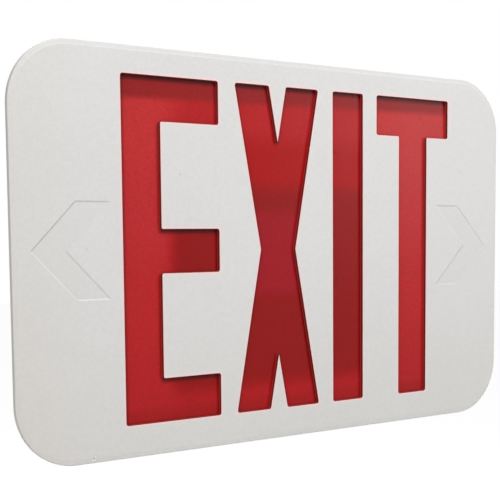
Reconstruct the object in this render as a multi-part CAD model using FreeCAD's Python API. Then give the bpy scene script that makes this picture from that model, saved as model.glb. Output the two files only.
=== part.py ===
import FreeCAD, Part
import math
import os

# Wall-mounted emergency exit light: a stencil face plate and a red diffuser snapped on the front of
# a drafted housing that carries the LED strips, the battery, its charger and a push-to-test switch.
# Millimetres. X runs to the viewer's right, Y into the wall, Z up. The origin is on the wall face,
# at the middle of the wiring entry. Depths count from the front face towards the wall.

# ---- overall form
plate_width = 296.0
plate_height = 183.6
plate_corner = 28.5
body_depth = 36.0
side_draft = 0.404            # inward run of the housing's ends for each mm of depth
level_draft = 0.07            # the same for its top and bottom walls
corner_draft = 0.2            # loss of corner radius for each mm of depth

# ---- face plate
face_thickness = 1.8
face_crown = 2.4              # width of the slight slope around the face's edge
face_crown_drop = 0.25
face_edge_round = 0.5
rim_width = 2.0
rim_depth = 2.2
rim_gap = 0.3
skirt_depth = 7.0
skirt_wall = 1.6
fit_gap = 0.15

# ---- legend: upright block letters cut right through the face
letter_height = 156.1
letter_width = 51.5
stroke = 19.75
cross_letter_width = 50.3
cross_letter_waist = 20.65
cross_letter_notch = 27.7     # depth of the notch between its legs
letter_gap = 9.9
letter_corner = 1.0
aperture_edge_round = 0.35    # round of the cut edges at the front
notch_corner = 0.25
legend_left = -94.4
legend_mid_z = 1.25

# ---- chevron knockouts
chevron_tip_inset = 8.95      # from the plate's end to the chevron's tip
chevron_half_height = 21.7
chevron_limb = 17.35
chevron_mid_x = -0.55         # middle between the two tips
chevron_mid_z = 1.95
chevron_recess = 0.35
chevron_slope = 0.7           # width of the recess's sloping sides
chevron_web = 0.45
chevron_groove = 1.2

# ---- release hole low in the face
release_hole_in = 36.5        # from the plate's left end
release_hole_up = 2.0
release_hole_radius = 0.8
release_hole_depth = 0.6

# ---- diffuser and the stakes that hold it
diffuser_thickness = 1.5
diffuser_gap = 0.3
stake_radius = 1.5
stake_clearance = 0.2
stake_head_radius = 2.6
stake_head_height = 0.9
stake_end_inset = 24.0        # from the plate's ends
stake_level_inset = 33.8      # from the plate's top and bottom
stake_mid_z = 70.0

# ---- face catches
catch_length = 12.0
catch_height = 0.8
catch_depth = 4.0
catch_land = 0.6
catch_ramp = 1.6
catch_root = 0.5
catch_pocket = 0.95
catch_gap = 0.25
catch_spacing = 95.0

# ---- housing
wall = 2.2
back_edge_round = 2.5
entry_radius = 11.1           # 1/2 in trade-size knockout
box_slot_spacing = 86.1       # takes 83.3 mm device boxes and 88.9 mm octagon boxes
box_slot_length = 7.2
box_slot_radius = 2.2
wall_hole_inset_x = 36.0      # from the plate's ends
wall_hole_inset_z = 29.8      # from its top and bottom
wall_hole_radius = 2.25
wall_hole_pad_radius = 6.0
wall_hole_pad_height = 1.0
top_knockout_groove = 0.9
top_knockout_web = 0.8

# ---- control pocket in the bottom wall
pocket_in = 40.0              # from the plate's left end to its middle
pocket_width = 34.0
pocket_mid_depth = 19.5
pocket_length = 19.0
pocket_corner = 3.0
pocket_recess = 9.3           # from the plate's bottom edge up to its floor
control_spacing = 14.0

# ---- test switch and button
switch_barrel_radius = 4.0
switch_hole_gap = 0.1
switch_bezel_radius = 5.6
switch_bezel_height = 1.5
switch_nut_flats = 11.0
switch_nut_height = 2.2
switch_thread_end = 6.0
switch_body_width = 9.6
switch_body_height = 8.0
switch_pin_width = 1.6
switch_pin_thick = 0.6
switch_pin_length = 3.5
button_stem_radius = 2.2
button_running_gap = 0.08
button_travel = 2.0
button_stop_gap = 0.5
button_cap_radius = 3.4
button_cap_height = 2.8
button_cap_round = 0.8
button_stem_inside = 5.0

# ---- charge indicator
indicator_radius = 2.5
indicator_flange_radius = 2.95
indicator_flange = 1.0
indicator_length = 8.6
indicator_below_clip = 2.6
indicator_clip_radius = 4.0
indicator_clip_flange_radius = 4.8
indicator_clip_flange = 1.2
indicator_leg_radius = 0.3
indicator_leg_spacing = 2.54
indicator_leg_length = 5.0
indicator_gap = 0.1

# ---- gear cover over the wiring and the charger
cover_mid_x = -8.0
cover_mid_z = -7.0
cover_width = 118.0
cover_height = 113.0
cover_depth = 20.0            # how far it stands off the back wall
cover_wall = 1.8
cover_corner = 5.0
cover_edge_round = 1.5
cover_boss_radius = 3.6
cover_boss_inset = 6.2
lead_gate_width = 9.0
lead_gate_height = 4.0
lead_gate_x = -35.0
lead_gate_z = -47.0
plug_hole_width = 11.0
plug_hole_height = 12.0

# ---- battery pack of two cells, its bay and strap
cell_diameter = 14.5
cell_length = 50.5
battery_mid_x = -8.0
battery_mid_z = 2.5
battery_end_round = 0.9
bay_play = 1.2
bay_floor_drop = 9.5          # bay floor behind the cover's front
strap_width = 12.0
strap_thickness = 0.6
strap_gap = 0.3
strap_lean = 2.0
strap_foot = 7.5
strap_foot_gap = 1.6

# ---- driver board
board_thickness = 1.6
board_standoff = 5.0
board_width = 41.0
board_height = 100.0
board_mid_x = -35.5
board_hole_inset = 4.0
board_boss_radius = 2.9

# ---- screws
screw_radius = 1.25
screw_hole_gap = 0.1
screw_head_radius = 2.6
screw_head_height = 1.9
screw_head_round = 0.8
screw_recess = 0.9
screw_tip_gap = 0.6
cover_screw_bite = 8.0
board_screw_bite = 4.0
led_screw_bite = 3.6
strap_screw_bite = 3.2

# ---- LED strips
strip_length = 190.0
strip_end_gap = 1.25          # from the control pocket to the strip's left end
strip_width = 10.0
strip_thickness = 1.2
strip_mid_depth = 15.0
strip_boss_height = 3.0
strip_boss_radius = 2.6
strip_boss_inset = 14.0
led_count = 10
led_length = 3.5
led_width = 2.8
led_height = 1.0
led_lens_radius = 1.15
led_lens_height = 0.3

# ---- wiring bushing
bushing_flange_radius = 13.5
bushing_flange = 1.8
bushing_bore_radius = 8.0
bushing_barrel_gap = 0.15
bushing_mouth_round = 0.7

# ---- parts on the driver board: distances from the board's middle, then sizes
core_x = -8.0
core_z = -26.0
core_width = 20.0
core_height = 20.0
core_thick = 6.0
core_leg = 5.6
core_window = 4.0
coil_gap = 0.2
coil_depth = 10.6
coil_bobbin_flange = 1.0
capacitor_x = 8.0
capacitor_z = -29.5
capacitor_radius = 4.0
capacitor_height = 10.8
capacitor_spacing = 9.5
capacitor_round = 0.7
film_x = -9.0
film_z = 31.0
film_width = 13.0
film_height = 5.0
film_depth = 10.0
relay_x = 8.0
relay_z = 36.0
relay_width = 10.0
relay_height = 15.0
relay_depth = 10.8
block_edge_round = 0.6
chip_x = 4.0
chip_z = 0.0
chip_width = 3.9
chip_height = 8.7
chip_depth = 1.45
chip_stand = 0.15
chip_lead_pitch = 1.27
chip_lead_width = 0.42
chip_lead_thick = 0.22
chip_lead_span = 6.0
chip_lead_foot = 0.6
chip_leads_a_side = 7
diode_x = -6.0
diode_z = -45.0
diode_radius = 1.35
diode_length = 5.2
diode_wire_radius = 0.35
diode_leg_radius = 0.45
diode_leg_span = 10.0
diode_spacing = 3.6
diode_count = 2
terminal_x = 14.0
terminal_z = -17.0
terminal_pitch = 5.0
terminal_ways = 3
terminal_width = 8.0
terminal_depth = 9.5
terminal_throat = 3.2
terminal_screw_radius = 1.7
terminal_screw_height = 0.7
terminal_screw_gap = 0.2
terminal_screw_slot = 0.6
socket_x = -13.5
socket_z = 9.5
socket_width = 8.0
socket_height = 6.0
socket_depth = 4.0
plug_width = 7.0
plug_height = 5.2
plug_depth = 5.0
battery_lead_radius = 0.8
battery_lead_spacing = 3.0
battery_lead_rise = 2.4
battery_lead_bend = 3.6

# ---- leads along the back wall, two to each strip, to the test switch and to the indicator
lead_radius = 0.55
lead_bend = 2.0
lead_pitch = 1.6
lead_wall_gap = 0.15
strip_lead_in = 3.4           # from the strip's left end to the middle of its leads
strip_lead_drop = 8.0         # straight run off the strip before the leads turn to the wall
strip_lead_off_cover = 10.1   # from the gear cover to the middle of the upper run
lower_lead_off_cover = 3.8    # the same for the lower run
board_lead_over = 3.2         # how far the leads pass over the board's front
board_lead_end_gap = 2.3      # from the board's end to the leads that climb over it
board_lead_landing = 3.0      # from the board's top end to the upper landing
lower_lead_landing = 2.5      # from its bottom end to the lower landing
side_lead_landing = 6.0       # from its left edge to the landing of the side leads
side_lead_climb = 4.0         # from its left edge to the leads that climb over it
switch_lead_rise = 9.0        # straight run off the switch pins
hook_width = 2.0
hook_wall = 1.2
hook_gap = 0.25
hook_x = -60.0
side_hook_x = -80.0

# ---- places that follow from the values above
half_width = plate_width / 2
half_height = plate_height / 2
front_inset = rim_width + rim_gap
back_wall = body_depth - wall
cover_front = back_wall - cover_depth
bay_floor = cover_front + bay_floor_drop
battery_front = bay_floor - cell_diameter
board_front = back_wall - board_standoff - board_thickness
board_mid_z = cover_mid_z
pocket_mid_x = pocket_in - half_width
pocket_floor_z = pocket_recess - half_height
pocket_top_z = pocket_floor_z + wall
switch_x = pocket_mid_x + control_spacing / 2
indicator_x = pocket_mid_x - control_spacing / 2
cross_letter_left = legend_left + letter_width + letter_gap
bar_letter_left = cross_letter_left + cross_letter_width + letter_gap
tee_letter_left = bar_letter_left + stroke + letter_gap
legend_right = tee_letter_left + letter_width
strip_mid_x = pocket_mid_x + pocket_width / 2 + wall + strip_end_gap + strip_length / 2
screw_hole_radius = screw_radius + screw_hole_gap
skirt_inset = wall + fit_gap
switch_pin_top = pocket_floor_z + switch_thread_end + switch_body_height + switch_pin_length
lead_depth = back_wall - lead_wall_gap - lead_radius
strip_left = strip_mid_x - strip_length / 2
upper_run_z = cover_mid_z + cover_height / 2 + strip_lead_off_cover
lower_run_z = cover_mid_z - cover_height / 2 - lower_lead_off_cover
tiny = 1e-4                   # for picking edges by their place


# ---- helpers
def at(x, depth, z):
    """A point from its place on the face and its depth behind the front."""
    return FreeCAD.Vector(x, depth - body_depth, z)


def rounded_wire(points, radius, depth):
    """Closed wire at one depth, its straight sides joined by tangent arcs."""
    radii = radius if isinstance(radius, list) else [radius] * len(points)
    corners = []
    for index, (x, z) in enumerate(points):
        here = FreeCAD.Vector(x, 0, z)
        before = FreeCAD.Vector(points[index - 1][0], 0, points[index - 1][1]).sub(here).normalize()
        following = points[(index + 1) % len(points)]
        after = FreeCAD.Vector(following[0], 0, following[1]).sub(here).normalize()
        half_angle = before.getAngle(after) / 2
        reach = radii[index] / math.tan(half_angle)
        inward = before.add(after).normalize()
        crown = inward.multiply(radii[index] / math.sin(half_angle) - radii[index])
        corners.append([at(p.x, depth, p.z) for p in
                        (here.add(before.multiply(reach)), here.add(crown), here.add(after.multiply(reach)))])
    edges = []
    for index, (start, middle, end) in enumerate(corners):
        edges.append(Part.Arc(start, middle, end).toShape())
        next_start = corners[(index + 1) % len(corners)][0]
        if end.distanceToPoint(next_start) > tiny:
            edges.append(Part.LineSegment(end, next_start).toShape())
    return Part.Wire(edges)


def plain_wire(points, depth):
    """Closed polygon at one depth."""
    corners = [at(x, depth, z) for x, z in points]
    return Part.makePolygon(corners + corners[:1])


def rectangle(mid_x, mid_z, width, height):
    """Corner points of an upright rectangle."""
    left, right = mid_x - width / 2, mid_x + width / 2
    low, high = mid_z - height / 2, mid_z + height / 2
    return [(left, high), (right, high), (right, low), (left, low)]


def inset_points(points, inset):
    """Corner points moved inwards by the same distance from every side."""
    following = points[1:] + points[:1]
    area = sum(x * next_z - next_x * z for (x, z), (next_x, next_z) in zip(points, following))
    normals = []
    for (x, z), (next_x, next_z) in zip(points, following):
        length = math.copysign(math.hypot(next_x - x, next_z - z), area)
        normals.append(((z - next_z) / length, (next_x - x) / length))
    moved = []
    for index, (x, z) in enumerate(points):
        before, after = normals[index - 1], normals[index]
        share = inset / (1 + before[0] * after[0] + before[1] * after[1])
        moved.append((x + share * (before[0] + after[0]), z + share * (before[1] + after[1])))
    return moved


def prism(wire, thickness):
    """Solid from a closed wire, run back towards the wall."""
    return Part.Face(wire).extrude(FreeCAD.Vector(0, thickness, 0))


def block(mid_x, mid_z, width, height, depth, thickness, corner=0.0):
    """Upright slab that starts at a depth, with rounded corners where a radius is given."""
    points = rectangle(mid_x, mid_z, width, height)
    wire = rounded_wire(points, corner, depth) if corner else plain_wire(points, depth)
    return prism(wire, thickness)


def pin(x, z, radius, depth, length):
    """Cylinder that runs from a depth towards the wall."""
    return Part.makeCylinder(radius, length, at(x, depth, z), FreeCAD.Vector(0, 1, 0))


def post(x, depth, z, radius, length):
    """Cylinder that runs up from a height, or down where the length is negative."""
    direction = FreeCAD.Vector(0, 0, math.copysign(1, length))
    return Part.makeCylinder(radius, abs(length), at(x, depth, z), direction)


def body_half_sizes(depth, inset=0.0):
    """Half width, half height and corner radius of the housing's outer skin at a depth."""
    run = depth - face_thickness
    return (half_width - front_inset - side_draft * run - inset,
            half_height - front_inset - level_draft * run - inset,
            plate_corner - front_inset - corner_draft * run - inset)


def body_wire(depth, inset=0.0):
    """Outline of the housing at a depth, moved inwards by an inset."""
    half_x, half_z, corner = body_half_sizes(depth, inset)
    return rounded_wire(rectangle(0, 0, 2 * half_x, 2 * half_z), corner, depth)


def body_loft(start, end, inset=0.0):
    """Drafted solid between two depths that follows the housing's skin."""
    return Part.makeLoft([body_wire(start, inset), body_wire(end, inset)], True, True)


def edges_at_depth(shape, depth):
    """Edges that lie wholly at one depth."""
    y = depth - body_depth
    return [e for e in shape.Edges if abs(e.BoundBox.YMin - y) < tiny and abs(e.BoundBox.YMax - y) < tiny]


def lead(route, bend, radius):
    """Round lead along straight runs that are joined by arcs of one bend radius."""
    edges = []
    start = route[0]
    for before, corner, after in zip(route, route[1:], route[2:]):
        back = before.sub(corner).normalize()
        on = after.sub(corner).normalize()
        half_angle = back.getAngle(on) / 2
        reach = bend / math.tan(half_angle)
        enter = corner.add(FreeCAD.Vector(back).multiply(reach))
        leave = corner.add(FreeCAD.Vector(on).multiply(reach))
        crown = back.add(on).normalize().multiply(bend / math.sin(half_angle) - bend)
        edges.append(Part.LineSegment(start, enter).toShape())
        edges.append(Part.Arc(enter, corner.add(crown), leave).toShape())
        start = leave
    edges.append(Part.LineSegment(start, route[-1]).toShape())
    ring = Part.Wire([Part.Circle(route[0], route[1].sub(route[0]), radius).toShape()])
    return Part.Wire(edges).makePipeShell([ring], True, False)


def screw(x, depth, z, bite, towards):
    """Pan-head screw whose head bears at the given point and whose shank runs the given way."""
    head = Part.makeCylinder(screw_head_radius, screw_head_height)
    head = head.makeFillet(screw_head_round, [e for e in head.Edges
                                              if e.BoundBox.ZMin > screw_head_height - tiny])
    slot = Part.makeCylinder(screw_recess, screw_head_height, FreeCAD.Vector(0, 0, screw_head_height / 2))
    shank = Part.makeCylinder(screw_radius, bite, FreeCAD.Vector(0, 0, -bite))
    solid = head.cut(slot).fuse(shank).removeSplitter()
    turn = FreeCAD.Rotation(FreeCAD.Vector(0, 0, -1), towards)
    solid.Placement = FreeCAD.Placement(at(x, depth, z), turn)
    return solid


into_wall = FreeCAD.Vector(0, 1, 0)
upward = FreeCAD.Vector(0, 0, 1)
downward = FreeCAD.Vector(0, 0, -1)


# ---- face plate
def legend_outlines():
    """The four letters as corner points with a radius for each corner."""
    top = legend_mid_z + letter_height / 2
    foot = legend_mid_z - letter_height / 2
    arm_high, arm_low = legend_mid_z + stroke / 2, legend_mid_z - stroke / 2
    left, stem, right = legend_left, legend_left + stroke, legend_left + letter_width
    letter_e = [(left, top), (right, top), (right, top - stroke), (stem, top - stroke), (stem, arm_high),
                (right, arm_high), (right, arm_low), (stem, arm_low), (stem, foot + stroke),
                (right, foot + stroke), (right, foot), (left, foot)]
    mid = cross_letter_left + cross_letter_width / 2
    outer = cross_letter_width / 2
    inner = outer - stroke
    waist = cross_letter_waist / 2
    upper_half = [(mid - outer, top), (mid - inner, top), (mid, top - cross_letter_notch),
                  (mid + inner, top), (mid + outer, top), (mid + waist, legend_mid_z)]
    lower_half = [(2 * mid - x, 2 * legend_mid_z - z) for x, z in upper_half]
    cross_radii = [letter_corner, letter_corner, notch_corner, letter_corner, letter_corner, notch_corner] * 2
    letter_i = rectangle(bar_letter_left + stroke / 2, legend_mid_z, stroke, letter_height)
    left, right = tee_letter_left, tee_letter_left + letter_width
    mid = (left + right) / 2
    letter_t = [(left, top), (right, top), (right, top - stroke), (mid + stroke / 2, top - stroke),
                (mid + stroke / 2, foot), (mid - stroke / 2, foot), (mid - stroke / 2, top - stroke),
                (left, top - stroke)]
    return [(letter_e, letter_corner), (upper_half + lower_half, cross_radii),
            (letter_i, letter_corner), (letter_t, letter_corner)]


def chevron_points(side):
    """Chevron that points to the given side, -1 for left."""
    tip = half_width - chevron_tip_inset
    half = chevron_half_height
    right_hand = [(tip, 0), (tip - half, half), (tip - half - chevron_limb, half), (tip - chevron_limb, 0),
                  (tip - half - chevron_limb, -half), (tip - half, -half)]
    return [(side * x + chevron_mid_x, z + chevron_mid_z) for x, z in right_hand]


def stake_places():
    """Where the face plate's stakes pass through the diffuser."""
    gap_x = bar_letter_left - letter_gap / 2
    end_x = half_width - stake_end_inset
    end_z = half_height - stake_level_inset
    ends = [(side * end_x, level * end_z) for side in (-1, 1) for level in (-1, 1)]
    return ends + [(gap_x, legend_mid_z + level * stake_mid_z) for level in (-1, 1)]


def catch_profile(level, root_inset, height, start, end, land):
    """Section of a catch or of its pocket, as depths and heights, for the top (1) or bottom (-1) wall."""
    outline = [(start, -catch_root), (start, height), (start + land, height), (end, 0), (end, -catch_root)]
    return [(depth, level * (body_half_sizes(depth, root_inset)[1] + rise)) for depth, rise in outline]


def catch_solid(mid_x, length, section):
    """Catch section run along the wall."""
    corners = [at(mid_x - length / 2, depth, z) for depth, z in section]
    return Part.Face(Part.makePolygon(corners + corners[:1])).extrude(FreeCAD.Vector(length, 0, 0))


def catch_places():
    """Places along the top and bottom walls of the six catches."""
    return [(step * catch_spacing, level) for level in (-1, 1) for step in (-1, 0, 1)]


def make_face_plate():
    outline = rounded_wire(rectangle(0, 0, plate_width, plate_height), plate_corner, face_crown_drop)
    flat = rounded_wire(rectangle(0, 0, plate_width - 2 * face_crown, plate_height - 2 * face_crown),
                        plate_corner - face_crown, 0)
    crown = Part.makeLoft([flat, outline], True, True)
    plate = prism(outline, rim_depth - face_crown_drop).fuse(crown).removeSplitter()
    plate = plate.makeFillet(face_edge_round, edges_at_depth(plate, face_crown_drop))
    inner = rounded_wire(rectangle(0, 0, plate_width - 2 * rim_width, plate_height - 2 * rim_width),
                         plate_corner - rim_width, face_thickness)
    plate = plate.cut(prism(inner, rim_depth))
    overlap = face_thickness / 2
    skirt = body_loft(overlap, skirt_depth, skirt_inset).cut(
        body_loft(overlap, skirt_depth, skirt_inset + skirt_wall))
    added = [skirt]
    for mid_x, level in catch_places():
        section = catch_profile(level, skirt_inset, catch_height, catch_depth,
                                catch_depth + catch_land + catch_ramp, catch_land)
        added.append(catch_solid(mid_x, catch_length, section))
    for x, z in stake_places():
        added.append(pin(x, z, stake_radius, overlap, face_thickness - overlap + diffuser_thickness))
        head = pin(x, z, stake_head_radius, face_thickness + diffuser_thickness, stake_head_height)
        rim = edges_at_depth(head, face_thickness + diffuser_thickness + stake_head_height)
        added.append(head.makeFillet(stake_head_height / 2, rim))
    plate = plate.multiFuse(added).removeSplitter()
    plate = plate.cut([prism(rounded_wire(points, radii, 0), face_thickness)
                       for points, radii in legend_outlines()])
    legend = [e for e in edges_at_depth(plate, 0)
              if e.BoundBox.XMin > legend_left - tiny and e.BoundBox.XMax < legend_right + tiny]
    plate = plate.makeFillet(aperture_edge_round, legend)
    cuts = []
    for side in (-1, 1):
        points = chevron_points(side)
        floor_points = inset_points(points, chevron_slope)
        recess = [plain_wire(points, 0), plain_wire(floor_points, chevron_recess)]
        cuts.append(Part.makeLoft(recess, True, True))
        groove_floor = chevron_recess + chevron_web
        outer = prism(plain_wire(points, groove_floor), face_thickness)
        inner = prism(plain_wire(inset_points(points, chevron_groove), groove_floor), face_thickness)
        cuts.append(outer.cut(inner))
    cuts.append(pin(release_hole_in - half_width, release_hole_up - half_height,
                    release_hole_radius, 0, release_hole_depth))
    return plate.cut(cuts)


def make_diffuser():
    inset = skirt_inset + skirt_wall + side_draft * diffuser_thickness + diffuser_gap
    half_x, half_z, corner = body_half_sizes(face_thickness, inset)
    outline = rounded_wire(rectangle(0, 0, 2 * half_x, 2 * half_z), corner, face_thickness)
    hole_radius = stake_radius + stake_clearance
    holes = [pin(x, z, hole_radius, face_thickness, diffuser_thickness) for x, z in stake_places()]
    return prism(outline, diffuser_thickness).cut(holes)


# ---- housing
def cover_boss_places():
    reach_x = cover_width / 2 - cover_boss_inset
    reach_z = cover_height / 2 - cover_boss_inset
    return [(cover_mid_x + i * reach_x, cover_mid_z + k * reach_z) for i in (-1, 1) for k in (-1, 1)]


def board_boss_places():
    reach_x = board_width / 2 - board_hole_inset
    reach_z = board_height / 2 - board_hole_inset
    return [(board_mid_x + i * reach_x, board_mid_z + k * reach_z) for i in (-1, 1) for k in (-1, 1)]


def wall_hole_places():
    reach_x = half_width - wall_hole_inset_x
    reach_z = half_height - wall_hole_inset_z
    return [(i * reach_x, k * reach_z) for i in (-1, 1) for k in (-1, 1)]


def strip_boss_places():
    reach = strip_length / 2 - strip_boss_inset
    return [(strip_mid_x + i * reach, level) for level in (-1, 1) for i in (-1, 1)]


def inner_wall_z(depth):
    """Height of the top wall's inner face."""
    return body_half_sizes(depth, wall)[1]


def strip_outer_z():
    """Height of the face of an LED strip that bears on its bosses."""
    return inner_wall_z(strip_mid_depth) - strip_boss_height


def lead_hooks():
    """Moulded hooks that hold the leads down along the back wall."""
    half_pair = lead_pitch / 2 + lead_radius + hook_gap
    over = lead_depth - lead_radius - hook_gap
    reach = back_wall + wall / 2
    hooks = []
    for z, level in ((upper_run_z, 1), (lower_run_z, -1)):
        hooks.append(block(hook_x, z + level * (half_pair + hook_wall / 2), hook_width, hook_wall,
                           over - hook_wall, reach - over + hook_wall))
        hooks.append(block(hook_x, z + level * hook_wall / 2, hook_width, 2 * half_pair + hook_wall,
                           over - hook_wall, hook_wall))
    half_group = half_pair + lead_pitch
    hooks.append(block(side_hook_x, lead_gate_z + half_group + hook_wall / 2, hook_width, hook_wall,
                       over - hook_wall, reach - over + hook_wall))
    hooks.append(block(side_hook_x, lead_gate_z + hook_wall / 2, hook_width, 2 * half_group + hook_wall,
                       over - hook_wall, hook_wall))
    return hooks


def upright_slot(x, z):
    """Cuts for one slot through the back wall."""
    reach = box_slot_length / 2 - box_slot_radius
    ends = [pin(x, z + side * reach, box_slot_radius, back_wall, wall) for side in (-1, 1)]
    return ends + [block(x, z, 2 * box_slot_radius, 2 * reach, back_wall, wall)]


def make_housing():
    skin = body_loft(face_thickness, body_depth)
    skin = skin.makeFillet(back_edge_round, edges_at_depth(skin, body_depth))
    shell = skin.cut(body_loft(face_thickness, back_wall, wall))
    added = []
    root = wall / 2
    for x, z in cover_boss_places():
        added.append(pin(x, z, cover_boss_radius, cover_front + cover_wall, cover_depth - cover_wall + root))
    for x, z in board_boss_places():
        added.append(pin(x, z, board_boss_radius, back_wall - board_standoff, board_standoff + root))
    pad_face = back_wall - wall_hole_pad_height
    for x, z in wall_hole_places():
        added.append(pin(x, z, wall_hole_pad_radius, pad_face, wall_hole_pad_height + root))
    for x, level in strip_boss_places():
        added.append(post(x, strip_mid_depth, level * strip_outer_z(), strip_boss_radius,
                          level * (strip_boss_height + root)))
    pocket_bottom = -half_height
    pocket_rise = pocket_floor_z - pocket_bottom
    added += lead_hooks()
    tub = make_pocket(pocket_bottom, pocket_rise + wall, wall).common(skin)
    added.append(tub)
    shell = shell.multiFuse(added).removeSplitter()
    cuts = [make_pocket(pocket_bottom, pocket_rise, 0.0)]
    cuts.append(pin(0, 0, entry_radius, back_wall, wall))
    for level in (-1, 1):
        cuts += upright_slot(0, level * box_slot_spacing / 2)
    for x, z in wall_hole_places():
        cuts.append(pin(x, z, wall_hole_radius, pad_face, wall_hole_pad_height + wall))
    for x, z in cover_boss_places():
        cuts.append(pin(x, z, screw_hole_radius, cover_front + cover_wall, cover_screw_bite + screw_tip_gap))
    for x, z in board_boss_places():
        cuts.append(pin(x, z, screw_hole_radius, back_wall - board_standoff,
                        board_screw_bite + screw_tip_gap))
    for x, level in strip_boss_places():
        cuts.append(post(x, strip_mid_depth, level * strip_outer_z(), screw_hole_radius,
                         level * (led_screw_bite + screw_tip_gap)))
    for mid_x, level in catch_places():
        section = catch_profile(level, wall, catch_pocket, catch_depth - catch_gap,
                                catch_depth + catch_land + catch_ramp + catch_gap, catch_land)
        cuts.append(catch_solid(mid_x, catch_length + 2 * catch_gap, section))
    cuts.append(control_hole(switch_x, switch_barrel_radius + switch_hole_gap))
    cuts.append(control_hole(indicator_x, indicator_clip_radius + indicator_gap))
    groove_floor = body_half_sizes(body_depth / 2)[1] - wall + top_knockout_web
    ring = post(0, body_depth / 2, groove_floor, entry_radius, 2 * wall)
    core = post(0, body_depth / 2, groove_floor, entry_radius - top_knockout_groove, 2 * wall)
    cuts.append(ring.cut(core))
    return shell.cut(cuts)


def make_pocket(bottom, rise, margin):
    """Control pocket in the bottom wall, or the block that leaves a wall round it."""
    half_x = pocket_width / 2 + margin
    half_y = pocket_length / 2 + margin
    mid_y = pocket_mid_depth - body_depth
    solid = Part.makeBox(2 * half_x, 2 * half_y, rise,
                         FreeCAD.Vector(pocket_mid_x - half_x, mid_y - half_y, bottom))
    upright = [e for e in solid.Edges if e.BoundBox.ZLength > rise / 2]
    return solid.makeFillet(pocket_corner + margin, upright)


def control_hole(x, radius):
    return post(x, pocket_mid_depth, pocket_floor_z, radius, wall)


def make_bushing():
    barrel = pin(0, 0, entry_radius - bushing_barrel_gap, back_wall, wall)
    flange = pin(0, 0, bushing_flange_radius, back_wall - bushing_flange, bushing_flange)
    flange = flange.makeFillet(bushing_mouth_round, edges_at_depth(flange, back_wall - bushing_flange))
    body = barrel.fuse(flange).removeSplitter()
    bore = pin(0, 0, bushing_bore_radius, back_wall - bushing_flange, bushing_flange + wall)
    return body.cut(bore)


# ---- gear cover, battery and strap
def make_gear_cover():
    shell = block(cover_mid_x, cover_mid_z, cover_width, cover_height,
                  cover_front, cover_depth, cover_corner)
    shell = shell.makeFillet(cover_edge_round, edges_at_depth(shell, cover_front))
    room = block(cover_mid_x, cover_mid_z, cover_width - 2 * cover_wall, cover_height - 2 * cover_wall,
                 cover_front + cover_wall, cover_depth, cover_corner - cover_wall)
    bay_width = cell_length + 2 * bay_play
    bay_height = 2 * cell_diameter + 2 * bay_play
    bay_corner = bay_play + cover_wall
    tray = block(battery_mid_x, battery_mid_z, bay_width + 2 * cover_wall, bay_height + 2 * cover_wall,
                 cover_front + cover_wall / 2, bay_floor_drop + cover_wall / 2, bay_corner)
    bay = block(battery_mid_x, battery_mid_z, bay_width, bay_height, cover_front - cover_wall,
                bay_floor_drop + cover_wall, bay_play)
    cuts = [bay]
    for x, z in cover_boss_places():
        cuts.append(pin(x, z, screw_hole_radius, cover_front, cover_wall))
    for x, z in strap_screw_places():
        cuts.append(pin(x, z, screw_hole_radius, cover_front, cover_wall))
    gate = back_wall - lead_gate_height
    for level in (-1, 1):
        cuts.append(block(lead_gate_x, cover_mid_z + level * cover_height / 2,
                          lead_gate_width, 3 * cover_wall, gate, lead_gate_height))
    cuts.append(block(cover_mid_x - cover_width / 2, lead_gate_z, 3 * cover_wall, lead_gate_width,
                      gate, lead_gate_height))
    cuts.append(block(board_mid_x + socket_x, board_mid_z + socket_z, plug_hole_width, plug_hole_height,
                      cover_front, cover_wall, cover_wall))
    return shell.cut(room).fuse(tray).removeSplitter().cut(cuts)


def make_battery_pack():
    half = cell_diameter / 2
    mid_depth = bay_floor - half
    left = battery_mid_x - cell_length / 2
    low, high = battery_mid_z - half, battery_mid_z + half
    edges = [Part.LineSegment(at(left, mid_depth - half, low), at(left, mid_depth - half, high)).toShape(),
             Part.Arc(at(left, mid_depth - half, high), at(left, mid_depth, high + half),
                      at(left, mid_depth + half, high)).toShape(),
             Part.LineSegment(at(left, mid_depth + half, high), at(left, mid_depth + half, low)).toShape(),
             Part.Arc(at(left, mid_depth + half, low), at(left, mid_depth, low - half),
                      at(left, mid_depth - half, low)).toShape()]
    pack = Part.Face(Part.Wire(edges)).extrude(FreeCAD.Vector(cell_length, 0, 0))
    ends = [e for e in pack.Edges if e.BoundBox.XLength < tiny]
    return pack.makeFillet(battery_end_round, ends)


def strap_shoulder():
    """Half height at which the strap meets the cover's front."""
    return cell_diameter + bay_play + strap_foot_gap


def strap_screw_places():
    reach = strap_shoulder() + strap_foot / 2
    return [(battery_mid_x, battery_mid_z + level * reach) for level in (-1, 1)]


def make_battery_strap():
    shoulder = strap_shoulder()
    crown = shoulder - strap_lean
    foot = shoulder + strap_foot
    over = battery_front - strap_gap
    under_side = [(-foot, cover_front), (-shoulder, cover_front), (-crown, over), (crown, over),
                  (shoulder, cover_front), (foot, cover_front)]
    lift = strap_thickness
    bend = lift / 2
    outer_side = [(foot, cover_front - lift), (shoulder + bend, cover_front - lift),
                  (crown + bend, over - lift), (-crown - bend, over - lift),
                  (-shoulder - bend, cover_front - lift), (-foot, cover_front - lift)]
    left = battery_mid_x - strap_width / 2
    corners = [at(left, depth, battery_mid_z + z) for z, depth in under_side + outer_side]
    band = Part.Face(Part.makePolygon(corners + corners[:1])).extrude(FreeCAD.Vector(strap_width, 0, 0))
    holes = [pin(x, z, screw_hole_radius, cover_front - 2 * lift, 3 * lift) for x, z in strap_screw_places()]
    return band.cut(holes)


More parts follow.
